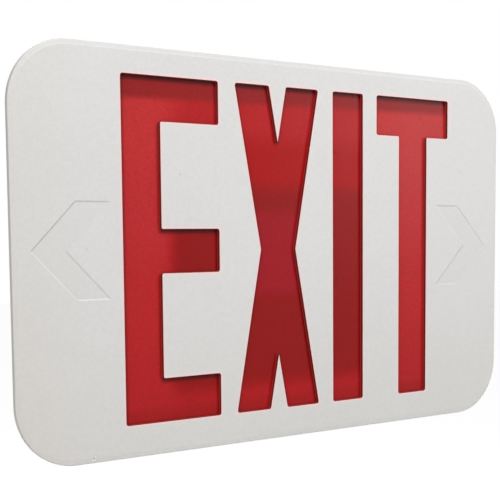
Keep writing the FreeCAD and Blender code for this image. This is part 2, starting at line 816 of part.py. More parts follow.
def make_battery_leads():
    """Two leads from the pack's end that turn back into the plug."""
    plug_x = board_mid_x + socket_x
    plug_z = board_mid_z + socket_z
    plug_top = board_front - socket_depth - plug_depth
    run_depth = cover_front - battery_lead_rise
    start_x = battery_mid_x - cell_length / 2
    leads = []
    for side in (-1, 1):
        z = plug_z + side * battery_lead_spacing / 2
        route = [at(start_x, run_depth, z), at(plug_x, run_depth, z), at(plug_x, plug_top, z)]
        leads.append(lead(route, battery_lead_bend, battery_lead_radius))
    return Part.makeCompound(leads)


# ---- driver board and what is soldered on it
def make_driver_board():
    board = block(board_mid_x, board_mid_z, board_width, board_height, board_front, board_thickness)
    holes = [pin(x, z, screw_hole_radius, board_front, board_thickness) for x, z in board_boss_places()]
    return board.cut(holes)


def on_board(offset_x, offset_z, width, height, thickness, rounding=0.0):
    """Upright block that stands on the board's front."""
    solid = block(board_mid_x + offset_x, board_mid_z + offset_z, width, height,
                  board_front - thickness, thickness)
    if rounding:
        edges = edges_at_depth(solid, board_front - thickness)
        solid = solid.makeFillet(rounding, edges)
    return solid


def make_transformer():
    mid_x, mid_z = board_mid_x + core_x, board_mid_z + core_z
    centre_depth = board_front - coil_depth / 2
    start = centre_depth - core_thick / 2
    core = block(mid_x, mid_z, core_width, core_height, start, core_thick, block_edge_round)
    window_height = core_height - 2 * core_window
    windows = [block(mid_x + side * (core_leg + core_window) / 2, mid_z, core_window, window_height,
                     start, core_thick) for side in (-1, 1)]
    core = core.cut(windows)
    coil_width = core_leg + 2 * core_window - 2 * coil_gap
    coil_height = window_height - 2 * coil_gap
    coil = block(mid_x, mid_z, coil_width, coil_height, board_front - coil_depth, coil_depth,
                 block_edge_round)
    leg_room = block(mid_x, mid_z, core_leg + 2 * coil_gap, core_height,
                     start - coil_gap, core_thick + 2 * coil_gap)
    groove_height = coil_height - 2 * coil_bobbin_flange
    outside = block(mid_x, mid_z, 2 * coil_width, groove_height,
                    board_front - 2 * coil_depth, 3 * coil_depth)
    inset = 2 * coil_gap
    wound = block(mid_x, mid_z, coil_width - 2 * inset, coil_height, board_front - coil_depth + inset,
                  coil_depth - 2 * inset, block_edge_round)
    return core, coil.cut(outside.cut(wound)).cut(leg_room)


def make_capacitors():
    cans = []
    for step in (0, 1):
        can = pin(board_mid_x + capacitor_x, board_mid_z + capacitor_z - step * capacitor_spacing,
                  capacitor_radius, board_front - capacitor_height, capacitor_height)
        cans.append(can.makeFillet(capacitor_round, edges_at_depth(can, board_front - capacitor_height)))
    return Part.makeCompound(cans)


def make_diodes():
    diodes = []
    for step in range(diode_count):
        x = board_mid_x + diode_x
        z = board_mid_z + diode_z + step * diode_spacing
        depth = board_front - 2 * diode_radius
        body = Part.makeCylinder(diode_radius, diode_length, at(x - diode_length / 2, depth, z),
                                 FreeCAD.Vector(1, 0, 0))
        wire = Part.makeCylinder(diode_wire_radius, diode_leg_span, at(x - diode_leg_span / 2, depth, z),
                                 FreeCAD.Vector(1, 0, 0))
        legs = [pin(x + side * diode_leg_span / 2, z, diode_leg_radius, depth - diode_leg_radius,
                    2 * diode_radius + diode_leg_radius) for side in (-1, 1)]
        diodes.append(body.multiFuse([wire] + legs).removeSplitter())
    return Part.makeCompound(diodes)


def make_control_chip():
    """Flat package with a row of bent leads down each side."""
    mid_x = board_mid_x + chip_x
    mid_z = board_mid_z + chip_z
    body = block(mid_x, mid_z, chip_width, chip_height, board_front - chip_stand - chip_depth, chip_depth)
    mid_depth = board_front - chip_stand - chip_depth / 2
    leads = []
    for side in (-1, 1):
        for way in range(chip_leads_a_side):
            z = mid_z + (way - (chip_leads_a_side - 1) / 2) * chip_lead_pitch
            out_x = mid_x + side * (chip_lead_span / 2 - chip_lead_foot)
            root_x = mid_x + side * chip_width / 2
            foot_x = mid_x + side * chip_lead_span / 2
            low_z = z - chip_lead_width / 2
            thick = chip_lead_thick
            section = [(root_x - side * thick, mid_depth - thick / 2), (out_x, mid_depth - thick / 2),
                       (out_x, board_front - thick), (foot_x, board_front - thick), (foot_x, board_front),
                       (out_x - side * thick, board_front), (out_x - side * thick, mid_depth + thick / 2),
                       (root_x - side * thick, mid_depth + thick / 2)]
            corners = [at(x, depth, low_z) for x, depth in section]
            face = Part.Face(Part.makePolygon(corners + corners[:1]))
            leads.append(face.extrude(FreeCAD.Vector(0, 0, chip_lead_width)))
    return body.multiFuse(leads).removeSplitter()


def terminal_way_places():
    first = board_mid_z + terminal_z - (terminal_ways - 1) / 2 * terminal_pitch
    return [first + way * terminal_pitch for way in range(terminal_ways)]


def make_terminal_block():
    body = on_board(terminal_x, terminal_z, terminal_width, terminal_ways * terminal_pitch, terminal_depth,
                    block_edge_round)
    right = board_mid_x + terminal_x + terminal_width / 2
    throats = []
    for z in terminal_way_places():
        throats.append(block(right, z, terminal_throat, terminal_throat,
                             board_front - terminal_depth + terminal_throat, terminal_throat))
        throats.append(pin(board_mid_x + terminal_x, z, terminal_screw_radius + terminal_screw_gap,
                           board_front - terminal_depth, 2 * terminal_screw_height))
    return body.cut(throats)


def make_terminal_screws():
    screws = []
    for z in terminal_way_places():
        head = pin(board_mid_x + terminal_x, z, terminal_screw_radius,
                   board_front - terminal_depth + terminal_screw_height, terminal_screw_height)
        slot = block(board_mid_x + terminal_x, z, 2 * terminal_screw_radius, terminal_screw_slot,
                     board_front - terminal_depth + terminal_screw_height, terminal_screw_height / 2)
        screws.append(head.cut(slot))
    return Part.makeCompound(screws)


def make_battery_plug():
    mid_x, mid_z = board_mid_x + socket_x, board_mid_z + socket_z
    top = board_front - socket_depth - plug_depth
    return block(mid_x, mid_z, plug_width, plug_height, top, plug_depth, block_edge_round)


# ---- LED strips
def make_strip(level):
    inner = level * strip_outer_z()
    low = min(inner, inner - level * strip_thickness)
    front = strip_mid_depth - strip_width / 2
    board = Part.makeBox(strip_length, strip_width, strip_thickness,
                         at(strip_mid_x - strip_length / 2, front, low))
    holes = [post(x, strip_mid_depth, low, screw_hole_radius, strip_thickness)
             for x, side in strip_boss_places() if side == level]
    return board.cut(holes)


def make_leds(level):
    face = level * (strip_outer_z() - strip_thickness)
    pitch = (strip_length - 2 * strip_boss_inset) / led_count
    chips = []
    for index in range(led_count):
        x = strip_mid_x + (index - (led_count - 1) / 2) * pitch
        low = min(face, face - level * led_height)
        chip = Part.makeBox(led_length, led_width, led_height,
                            at(x - led_length / 2, strip_mid_depth - led_width / 2, low))
        lens = post(x, strip_mid_depth, face - level * led_height, led_lens_radius, -level * led_lens_height)
        chips.append(chip.fuse(lens).removeSplitter())
    return Part.makeCompound(chips)


# ---- leads to the strips, the test switch and the indicator
def make_strip_leads(level):
    """Two leads from a strip's end, down to the back wall, under the gear cover and onto the board."""
    board_end = board_mid_z + level * board_height / 2
    run_z = upper_run_z if level > 0 else lower_run_z
    landing = board_lead_landing if level > 0 else lower_lead_landing
    face_z = level * (strip_outer_z() - strip_thickness)
    turn_z = face_z - level * strip_lead_drop
    climb_z = board_end + level * board_lead_end_gap
    land_z = board_end - level * landing
    over = board_front - board_lead_over
    leads = []
    for side in (-1, 1):
        offset = side * lead_pitch / 2
        x = strip_left + strip_lead_in + offset
        gate_x = lead_gate_x + offset
        z = run_z + level * offset
        leads.append(lead([at(x, strip_mid_depth, face_z), at(x, strip_mid_depth, turn_z),
                           at(x, lead_depth, turn_z), at(x, lead_depth, z), at(gate_x, lead_depth, z),
                           at(gate_x, lead_depth, climb_z), at(gate_x, over, climb_z),
                           at(gate_x, over, land_z), at(gate_x, board_front, land_z)],
                          lead_bend, lead_radius))
    return Part.makeCompound(leads)


def make_side_leads(starts, start_z, first_way):
    """Two leads that rise from the given places, cross to the side gate and land on the board."""
    board_left = board_mid_x - board_width / 2
    climb_x = board_left - side_lead_climb
    land_x = board_left + side_lead_landing
    turn_z = switch_pin_top + switch_lead_rise
    over = board_front - board_lead_over
    leads = []
    for step, x in enumerate(starts):
        z = lead_gate_z + (1.5 - first_way - step) * lead_pitch
        leads.append(lead([at(x, pocket_mid_depth, start_z), at(x, pocket_mid_depth, turn_z),
                           at(x, lead_depth, turn_z), at(x, lead_depth, z), at(climb_x, lead_depth, z),
                           at(climb_x, over, z), at(land_x, over, z), at(land_x, board_front, z)],
                          lead_bend, lead_radius))
    return Part.makeCompound(leads)


def make_switch_leads():
    return make_side_leads([switch_x + side * switch_body_width / 4 for side in (-1, 1)],
                           switch_pin_top, 2)


def make_indicator_leads():
    return make_side_leads([indicator_x + side * indicator_leg_spacing / 2 for side in (-1, 1)],
                           indicator_top() + indicator_leg_length, 0)


# ---- test switch, button and indicator
def make_switch_body():
    x, depth = switch_x, pocket_mid_depth
    bezel = post(x, depth, pocket_floor_z, switch_bezel_radius, -switch_bezel_height)
    rim = [e for e in bezel.Edges if e.BoundBox.ZMax < pocket_floor_z - switch_bezel_height + tiny]
    bezel = bezel.makeFillet(switch_bezel_height / 2, rim)
    barrel = post(x, depth, pocket_floor_z - switch_bezel_height / 2, switch_barrel_radius,
                  switch_thread_end + switch_bezel_height / 2)
    top = pocket_floor_z + switch_thread_end
    half = switch_body_width / 2
    case = Part.makeBox(switch_body_width, switch_body_width, switch_body_height,
                        at(x - half, depth - half, top))
    case = case.makeFillet(switch_bezel_height / 2, [e for e in case.Edges if e.BoundBox.ZLength > half])
    bore_low = pocket_floor_z - 2 * switch_bezel_height
    bore_top = pocket_floor_z - switch_bezel_height + button_stem_inside + button_travel + button_stop_gap
    bore = post(x, depth, bore_low, button_stem_radius + button_running_gap, bore_top - bore_low)
    return bezel.multiFuse([barrel, case]).removeSplitter().cut(bore)


def make_switch_nut():
    base = pocket_top_z
    radius = switch_nut_flats / math.sqrt(3)
    centre = at(switch_x, pocket_mid_depth, base)
    corners = [centre.add(FreeCAD.Vector(radius * math.cos(math.radians(60 * k)),
                                         radius * math.sin(math.radians(60 * k)), 0)) for k in range(6)]
    outline = Part.makePolygon(corners + corners[:1])
    hexagon = Part.Face(outline).extrude(FreeCAD.Vector(0, 0, switch_nut_height))
    return hexagon.cut(post(switch_x, pocket_mid_depth, base, switch_barrel_radius + switch_hole_gap,
                            switch_nut_height))


def make_switch_pins():
    base = pocket_floor_z + switch_thread_end + switch_body_height
    pins = []
    for side in (-1, 1):
        x = switch_x + side * switch_body_width / 4
        pins.append(Part.makeBox(switch_pin_thick, switch_pin_width, switch_pin_length,
                                 at(x - switch_pin_thick / 2, pocket_mid_depth - switch_pin_width / 2, base)))
    return Part.makeCompound(pins)


def make_button():
    x, depth = switch_x, pocket_mid_depth
    bezel_face = pocket_floor_z - switch_bezel_height
    cap_top = bezel_face - button_travel - button_stop_gap
    cap = post(x, depth, cap_top, button_cap_radius, -button_cap_height)
    low_edges = [e for e in cap.Edges if e.BoundBox.ZMax < cap_top - button_cap_height + tiny]
    cap = cap.makeFillet(button_cap_round, low_edges)
    stem = post(x, depth, cap_top - button_cap_height / 2, button_stem_radius,
                bezel_face + button_stem_inside - cap_top + button_cap_height / 2)
    return cap.fuse(stem).removeSplitter()


def indicator_top():
    """Height of the lamp's upper end, above the collar that seats on its clip."""
    return pocket_floor_z - indicator_clip_flange - indicator_below_clip + indicator_length


def make_indicator():
    """The lamp's epoxy body with its dome and collar, and its two legs."""
    x, depth = indicator_x, pocket_mid_depth
    top = indicator_top()
    dome_z = top - indicator_length + indicator_radius
    dome = Part.makeSphere(indicator_radius, at(x, depth, dome_z))
    shaft = post(x, depth, dome_z, indicator_radius, top - dome_z)
    collar = post(x, depth, top - indicator_flange, indicator_flange_radius, indicator_flange)
    body = dome.multiFuse([shaft, collar]).removeSplitter()
    legs = [post(x + side * indicator_leg_spacing / 2, depth, top, indicator_leg_radius, indicator_leg_length)
            for side in (-1, 1)]
    return body, Part.makeCompound(legs)


def make_indicator_clip():
    x, depth = indicator_x, pocket_mid_depth
    flange = post(x, depth, pocket_floor_z, indicator_clip_flange_radius, -indicator_clip_flange)
    seat = indicator_top() - indicator_flange
    low = pocket_floor_z - indicator_clip_flange
    sleeve = post(x, depth, low, indicator_clip_radius, seat - low)
    bore = post(x, depth, low, indicator_radius + indicator_gap, seat - low)
    return flange.fuse(sleeve).removeSplitter().cut(bore)


# ---- fasteners
def make_screw_group(places, depth, bite):
    return Part.makeCompound([screw(x, depth, z, bite, into_wall) for x, z in places])


def make_strip_screws():
    solids = []
    for x, level in strip_boss_places():
        head_face = level * (strip_outer_z() - strip_thickness)
        solids.append(screw(x, strip_mid_depth, head_face, strip_thickness + led_screw_bite,
                            upward if level > 0 else downward))
    return Part.makeCompound(solids)


def build_parts():
    core, coil = make_transformer()
    lamp, lamp_legs = make_indicator()
    return {
        "face_plate": make_face_plate(),
        "red_diffuser": make_diffuser(),
        "housing": make_housing(),
        "wiring_bushing": make_bushing(),
        "gear_cover": make_gear_cover(),
        "gear_cover_screws": make_screw_group(cover_boss_places(), cover_front,
                                              cover_wall + cover_screw_bite),
        "battery_pack": make_battery_pack(),
        "battery_strap": make_battery_strap(),
        "battery_strap_screws": make_screw_group(strap_screw_places(), cover_front - strap_thickness,
                                                 strap_thickness + strap_screw_bite),
        "battery_leads": make_battery_leads(),
        "battery_plug": make_battery_plug(),
        "battery_socket": on_board(socket_x, socket_z, socket_width, socket_height, socket_depth),
        "driver_board": make_driver_board(),
        "driver_board_screws": make_screw_group(board_boss_places(), board_front,
                                                board_thickness + board_screw_bite),
        "transformer_core": core,
        "transformer_coil": coil,
        "smoothing_capacitors": make_capacitors(),
        "film_capacitor": on_board(film_x, film_z, film_width, film_height, film_depth,
                                   block_edge_round),
        "transfer_relay": on_board(relay_x, relay_z, relay_width, relay_height, relay_depth,
                                   block_edge_round),
        "control_chip": make_control_chip(),
        "rectifier_diodes": make_diodes(),
        "mains_terminal_block": make_terminal_block(),
        "terminal_screws": make_terminal_screws(),
        "led_strip_top": make_strip(1),
        "led_strip_bottom": make_strip(-1),
        "leds_top": make_leds(1),
        "leds_bottom": make_leds(-1),
        "led_strip_screws": make_strip_screws(),
        "led_leads_top": make_strip_leads(1),
        "led_leads_bottom": make_strip_leads(-1),
        "switch_leads": make_switch_leads(),
        "indicator_leads": make_indicator_leads(),
        "test_switch_body": make_switch_body(),
        "test_switch_nut": make_switch_nut(),
        "test_switch_pins": make_switch_pins(),
        "test_button": make_button(),
        "indicator_lamp": lamp,
        "indicator_legs": lamp_legs,
        "indicator_clip": make_indicator_clip(),
    }


os.makedirs("parts", exist_ok=True)
for name, shape in build_parts().items():
    shape.exportStep("parts/" + name + ".step")
    print(name, "solids", len(shape.Solids), "volume", round(shape.Volume), "valid", shape.isValid())
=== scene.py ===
import bpy
import bmesh
import math
from mathutils import Euler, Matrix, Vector


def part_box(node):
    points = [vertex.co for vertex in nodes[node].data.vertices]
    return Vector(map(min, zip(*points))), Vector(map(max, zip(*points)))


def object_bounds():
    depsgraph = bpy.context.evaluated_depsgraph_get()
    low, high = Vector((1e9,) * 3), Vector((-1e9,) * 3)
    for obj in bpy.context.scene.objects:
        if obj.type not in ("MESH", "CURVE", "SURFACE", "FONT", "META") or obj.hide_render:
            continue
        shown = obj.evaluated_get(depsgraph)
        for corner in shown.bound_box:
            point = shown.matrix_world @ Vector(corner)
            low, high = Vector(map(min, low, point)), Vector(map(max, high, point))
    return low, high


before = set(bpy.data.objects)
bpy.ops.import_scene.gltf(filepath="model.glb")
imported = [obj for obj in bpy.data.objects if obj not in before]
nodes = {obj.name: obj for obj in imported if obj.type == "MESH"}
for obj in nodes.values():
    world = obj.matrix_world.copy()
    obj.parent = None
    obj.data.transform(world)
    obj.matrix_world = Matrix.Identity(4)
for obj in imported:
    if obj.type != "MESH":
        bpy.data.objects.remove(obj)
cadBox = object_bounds()
print("frame loaded", len(nodes), "pieces")


# node helpers, used by every material
def addNode(tree, kind, place=(0, 0), **settings):
    node = tree.nodes.new(kind)
    node.location = place
    for key, value in settings.items():
        setattr(node, key, value)
    return node


def plug(tree, source, target):
    tree.links.new(source, target)


def feed(tree, socket, value):
    # a number or colour is set on the socket, an output is linked to it
    if isinstance(value, bpy.types.NodeSocket):
        tree.links.new(value, socket)
    else:
        socket.default_value = value


def mathNode(tree, operation, first, second=0.0, clamp=False):
    node = addNode(tree, "ShaderNodeMath", operation=operation, use_clamp=clamp)
    feed(tree, node.inputs[0], first)
    feed(tree, node.inputs[1], second)
    return node.outputs[0]


def vectorNode(tree, operation, first, second=None):
    node = addNode(tree, "ShaderNodeVectorMath", operation=operation)
    feed(tree, node.inputs[0], first)
    if second is not None:
        feed(tree, node.inputs[1], second)
    return node.outputs


def smoothStep(tree, value, low, high):
    # 0 at low and 1 at high, which may also lie below low
    node = addNode(tree, "ShaderNodeMapRange", interpolation_type="SMOOTHSTEP")
    feed(tree, node.inputs["Value"], value)
    feed(tree, node.inputs["From Min"], low)
    feed(tree, node.inputs["From Max"], high)
    return node.outputs["Result"]


def spread(tree, value, low, high):
    node = addNode(tree, "ShaderNodeMapRange")
    feed(tree, node.inputs["Value"], value)
    feed(tree, node.inputs["To Min"], low)
    feed(tree, node.inputs["To Max"], high)
    return node.outputs["Result"]


def blendColour(tree, factor, first, second, kind="MIX"):
    node = addNode(tree, "ShaderNodeMix", data_type="RGBA", blend_type=kind)
    feed(tree, node.inputs["Factor"], factor)
    feed(tree, node.inputs["A"], first)
    feed(tree, node.inputs["B"], second)
    return node.outputs["Result"]


def tintColour(tree, share, colour, tint):
    return blendColour(tree, share, colour, tint, "MULTIPLY")


def riseColour(tree, value, stops):
    # colours met one after another as the value grows
    colour = stops[0][1]
    for (low, _), (high, after) in zip(stops, stops[1:]):
        colour = blendColour(tree, smoothStep(tree, value, low, high), colour, after)
    return colour


def noise(tree, vector, scale, detail=3.0, rough=0.5):
    node = addNode(tree, "ShaderNodeTexNoise")
    plug(tree, vector, node.inputs["Vector"])
    feed(tree, node.inputs["Scale"], scale)
    feed(tree, node.inputs["Detail"], detail)
    feed(tree, node.inputs["Roughness"], rough)
    return node.outputs["Fac"]


def split(tree, vector):
    node = addNode(tree, "ShaderNodeSeparateXYZ")
    plug(tree, vector, node.inputs[0])
    return node.outputs


def newGroup(name, inputs, outputs):
    group = bpy.data.node_groups.new(name, "ShaderNodeTree")
    for label, kind, value in inputs:
        socket = group.interface.new_socket(label, in_out="INPUT", socket_type=kind)
        if value is not None:
            socket.default_value = value
    for label, kind in outputs:
        group.interface.new_socket(label, in_out="OUTPUT", socket_type=kind)
    entry = addNode(group, "NodeGroupInput", (-600, 0))
    ending = addNode(group, "NodeGroupOutput", (600, 0))
    return group, entry.outputs, ending.inputs


def useGroup(tree, group, vector, **values):
    node = addNode(tree, "ShaderNodeGroup")
    node.node_tree = group
    plug(tree, vector, node.inputs["Vector"])
    for label, value in values.items():
        feed(tree, node.inputs[label], value)
    return node.outputs


# moulded plastic: a fine eroded grain over slow waves in the wall, and cloudy tone
moulding = dict(fineDetail=2.0, slowDetail=1.5, cloudScale=9.0, cloudDetail=4.0, cloudRough=0.6,
                cloudFrom=0.32, cloudTo=0.68)


def makeMouldGrain():
    group, given, made = newGroup("mouldGrain", [
        ("Vector", "NodeSocketVector", None),
        ("Grain", "NodeSocketFloat", 2600.0),
        ("Waves", "NodeSocketFloat", 22.0),
        ("WaveShare", "NodeSocketFloat", 0.5),
    ], [("Height", "NodeSocketFloat"), ("Tone", "NodeSocketFloat")])
    fine = noise(group, given["Vector"], given["Grain"], moulding["fineDetail"])
    slow = noise(group, given["Vector"], given["Waves"], moulding["slowDetail"])
    waves = mathNode(group, "MULTIPLY", slow, given["WaveShare"])
    plug(group, mathNode(group, "ADD", fine, waves), made["Height"])
    cloud = noise(group, given["Vector"], moulding["cloudScale"], moulding["cloudDetail"],
                  moulding["cloudRough"])
    plug(group, smoothStep(group, cloud, moulding["cloudFrom"], moulding["cloudTo"]), made["Tone"])
    return group


# a rectangle on the face with soft edges, 1 inside
def makeSoftPanel():
    group, given, made = newGroup("softPanel", [
        ("Vector", "NodeSocketVector", None),
        ("Left", "NodeSocketFloat", -0.1),
        ("Right", "NodeSocketFloat", 0.1),
        ("Low", "NodeSocketFloat", -0.1),
        ("High", "NodeSocketFloat", 0.1),
        ("Soft", "NodeSocketFloat", 0.005),
    ], [("Mask", "NodeSocketFloat")])
    place = split(group, given["Vector"])
    sides = []
    for axis, low, high in (("X", "Left", "Right"), ("Z", "Low", "High")):
        for edge, before, after in ((low, "SUBTRACT", "ADD"), (high, "ADD", "SUBTRACT")):
            start = mathNode(group, before, given[edge], given["Soft"])
            end = mathNode(group, after, given[edge], given["Soft"])
            sides.append(smoothStep(group, place[axis], start, end))
    mask = sides[0]
    for side in sides[1:]:
        mask = mathNode(group, "MULTIPLY", mask, side)
    plug(group, mask, made["Mask"])
    return group


# a round speck on the face, 1 within its core and fading to its size
speckCore = 0.4


def makeSpeck():
    group, given, made = newGroup("speck", [
        ("Vector", "NodeSocketVector", None),
        ("MidX", "NodeSocketFloat", 0.0),
        ("MidZ", "NodeSocketFloat", 0.0),
        ("Size", "NodeSocketFloat", 0.0005),
    ], [("Mask", "NodeSocketFloat")])
    place = split(group, given["Vector"])
    squares = []
    for axis, middle in (("X", "MidX"), ("Z", "MidZ")):
        away = mathNode(group, "SUBTRACT", place[axis], given[middle])
        squares.append(mathNode(group, "MULTIPLY", away, away))
    distance = mathNode(group, "SQRT", mathNode(group, "ADD", *squares))
    core = mathNode(group, "MULTIPLY", given["Size"], speckCore)
    plug(group, smoothStep(group, distance, given["Size"], core), made["Mask"])
    return group


# fine scratches along X and dull patches, for metal and glossy plastic
wear = dict(lineDetail=5.0, lineRough=0.7, lineFrom=0.35, lineTo=0.65, patchScale=60.0, patchFrom=0.4,
            patchTo=0.65)


def makeHandling():
    group, given, made = newGroup("handling", [
        ("Vector", "NodeSocketVector", None),
        ("Scale", "NodeSocketFloat", 300.0),
        ("Stretch", "NodeSocketVector", (0.05, 1.0, 1.0)),
    ], [("Scratches", "NodeSocketFloat"), ("Patches", "NodeSocketFloat")])
    stretched = vectorNode(group, "MULTIPLY", given["Vector"], given["Stretch"])["Vector"]
    lines = noise(group, stretched, given["Scale"], wear["lineDetail"], wear["lineRough"])
    plug(group, smoothStep(group, lines, wear["lineFrom"], wear["lineTo"]), made["Scratches"])
    patches = noise(group, given["Vector"], wear["patchScale"])
    plug(group, smoothStep(group, patches, wear["patchFrom"], wear["patchTo"]), made["Patches"])
    return group


mouldGrain = makeMouldGrain()
softPanel = makeSoftPanel()
speck = makeSpeck()
handling = makeHandling()


def startMaterial(name):
    material = bpy.data.materials.new(name)
    material.use_nodes = True
    tree = material.node_tree
    shader = tree.nodes["Principled BSDF"]
    coords = addNode(tree, "ShaderNodeTexCoord", (-900, 0))
    return material, tree, shader, coords.outputs["Object"]


def bump(tree, shader, height, distance):
    node = addNode(tree, "ShaderNodeBump")
    node.inputs["Distance"].default_value = distance
    node.inputs["Strength"].default_value = 1.0
    plug(tree, height, node.inputs["Height"])
    plug(tree, node.outputs["Normal"], shader.inputs["Normal"])


def varyRoughness(tree, shader, mask, low, high):
    plug(tree, spread(tree, mask, low, high), shader.inputs["Roughness"])


def dress(material, *names):
    for name in names:
        nodes[name].data.materials.clear()
        nodes[name].data.materials.append(material)


# the white resin of the plate and the housing, and the plastics that are moulded like it
resin = dict(grain=2200.0, waves=14.0, waveShare=0.8, depth=0.00003)

# face plate: satin white moulding; the cut edges of its letters are painted dark red, as shade and the red
# light of the sheet behind
face = dict(
    light=(0.800, 0.792, 0.780, 1), dark=(0.780, 0.771, 0.758, 1), roughLow=0.40, roughHigh=0.52,
    # painted shade: the left end and the foot a little darker and warmer
    endShade=(0.99, 0.975, 0.955, 1), endShadeOuter=-0.148, endShadeInner=-0.105,
    footShade=(0.972, 0.960, 0.945, 1), footFrom=0.010, footTo=-0.088,
    mottleLow=(0.982, 0.982, 0.982, 1), mottleHigh=(1.018, 1.018, 1.018, 1),
    mottleScale=620.0, mottleRough=0.7, mottleFrom=0.35, mottleTo=0.65,
    # specks: middle across, middle up, size and strength; the last is painted shade around the release hole
    specks=[(-0.0641, 0.0361, 0.0006, 0.25), (-0.1129, 0.0027, 0.0008, 0.12),
            (0.1191, 0.0421, 0.0009, 0.12), (-0.1115, -0.0898, 0.0018, 0.09)],
    speckAndShadeColour=(0.12, 0.1, 0.09, 1),
    # painted light: the release hole's inside is painted pale
    hole=dict(MidX=-0.1115, MidZ=-0.0898, Size=0.0014), holePaintedLight=(1.0, 1.0, 0.99, 1),
    # depths from here on count from the plate's front
    # painted shade on the chevrons' sloping sides
    slopeShade=(0.80, 0.80, 0.80, 1), slopeShadeWay=(-0.6, 0.0, 0.8), slopeShadeFrom=0.31, slopeShadeTo=0.43,
    reliefDepth=0.00034, reliefPast=0.000374,
    # painted highlight along the rolled top edge
    shine=(1.07, 1.07, 1.07, 1), shineFrom=0.00003, shineTo=0.00011,
    slopeStart=(0.03, 0.09), slopeEnd=(0.25, 0.15),
    # painted shade on the rim behind the rolled edge
    rim=(0.84, 0.84, 0.84, 1), rimFrom=0.00030, rimTo=0.00055,
    # the two areas that hold the openings: left, right, low and high
    openingAreas=[(-0.0962, 0.0965, -0.0790, 0.0820), (0.0500, 0.1105, 0.0500, 0.0820)], openingAreasSoft=0.0002,
    # painted light: a faint red glow beside each cut
    glow=(1.0, 0.725, 0.705, 1), glowReach=0.0017, glowFrom=0.985, glowTo=0.82, glowShare=0.95,
    # painted shade: the cut edges dark, their walls a dim red
    cutEdgeShade=(0.085, 0.008, 0.006, 1), cutTo=0.00004,
    cutWallShade=(0.50, 0.036, 0.032, 1), wallFrom=0.0006, wallTo=0.0012,
)
shadeSamples = 16


def faceToneAndShade(tree, place, tone):
    across = split(tree, place)
    colour = blendColour(tree, tone, face["dark"], face["light"])
    # painted shade: the left end and the foot are tinted a little darker and warmer
    leftEnd = smoothStep(tree, across["X"], face["endShadeInner"], face["endShadeOuter"])
    colour = tintColour(tree, leftEnd, colour, face["endShade"])
    foot = smoothStep(tree, across["Z"], face["footFrom"], face["footTo"])
    colour = tintColour(tree, foot, colour, face["footShade"])
    mottle = smoothStep(tree, noise(tree, place, face["mottleScale"], rough=face["mottleRough"]),
                        face["mottleFrom"], face["mottleTo"])
    return tintColour(tree, 1.0, colour, blendColour(tree, mottle, face["mottleLow"], face["mottleHigh"]))


def addSpecksAndHoleShading(tree, place, colour):
    for midX, midZ, size, strength in face["specks"]:
        mask = useGroup(tree, speck, place, MidX=midX, MidZ=midZ, Size=size)["Mask"]
        colour = blendColour(tree, mathNode(tree, "MULTIPLY", mask, strength), colour, face["speckAndShadeColour"])
    # painted light: the small release hole is painted pale inside, over the shade of its depth
    hole = useGroup(tree, speck, place, **face["hole"])["Mask"]
    return blendColour(tree, hole, colour, face["holePaintedLight"])


def addReliefShadeAndHighlight(tree, depth, front, colour):
    normal = addNode(tree, "ShaderNodeNewGeometry").outputs["True Normal"]
    # painted shade: the chevrons' sides that lean one way are painted darker, so their lines read
    facing = vectorNode(tree, "DOT_PRODUCT", normal, face["slopeShadeWay"])["Value"]
    turned = smoothStep(tree, mathNode(tree, "ABSOLUTE", facing), face["slopeShadeFrom"], face["slopeShadeTo"])
    shallow = smoothStep(tree, depth, front + face["reliefPast"], front + face["reliefDepth"])
    colour = tintColour(tree, mathNode(tree, "MULTIPLY", turned, shallow), colour, face["slopeShade"])
    # painted highlight: a thin shine is painted along the top where the face starts to roll over
    upward = split(tree, normal)["Z"]
    slope = mathNode(tree, "MULTIPLY", smoothStep(tree, upward, *face["slopeStart"]),
                     smoothStep(tree, upward, *face["slopeEnd"]))
    started = smoothStep(tree, depth, front, front + face["shineFrom"])
    ended = smoothStep(tree, depth, front + face["shineTo"], front + face["shineFrom"])
    rolling = mathNode(tree, "MULTIPLY", slope, mathNode(tree, "MULTIPLY", started, ended))
    colour = tintColour(tree, rolling, colour, face["shine"])
    # painted shade: the rim behind the rolled edge is painted darker
    behindEdge = smoothStep(tree, depth, front + face["rimFrom"], front + face["rimTo"])
    return tintColour(tree, behindEdge, colour, face["rim"])


def addCutShadeAndGlow(tree, place, depth, front, colour):
    areas = [useGroup(tree, softPanel, place, Left=left, Right=right, Low=low, High=high,
                      Soft=face["openingAreasSoft"])["Mask"] for left, right, low, high in face["openingAreas"]]
    around = mathNode(tree, "MAXIMUM", *areas)
    # painted light: a faint red glow is painted beside each cut, as if the red shone through the resin
    beside = addNode(tree, "ShaderNodeAmbientOcclusion", samples=shadeSamples, inside=True)
    beside.inputs["Distance"].default_value = face["glowReach"]
    near = smoothStep(tree, beside.outputs["AO"], face["glowFrom"], face["glowTo"])
    glowing = mathNode(tree, "MULTIPLY", mathNode(tree, "MULTIPLY", near, around), face["glowShare"])
    colour = blendColour(tree, glowing, colour, face["glow"])
    # painted shade: behind the front each cut edge is painted dark, then its wall a dim red, the sheet's red
    # light on it painted in too
    deep = smoothStep(tree, depth, front + face["wallFrom"], front + face["wallTo"])
    cutShade = blendColour(tree, deep, face["cutEdgeShade"], face["cutWallShade"])
    behind = smoothStep(tree, depth, front, front + face["cutTo"])
    return blendColour(tree, mathNode(tree, "MULTIPLY", around, behind), colour, cutShade)


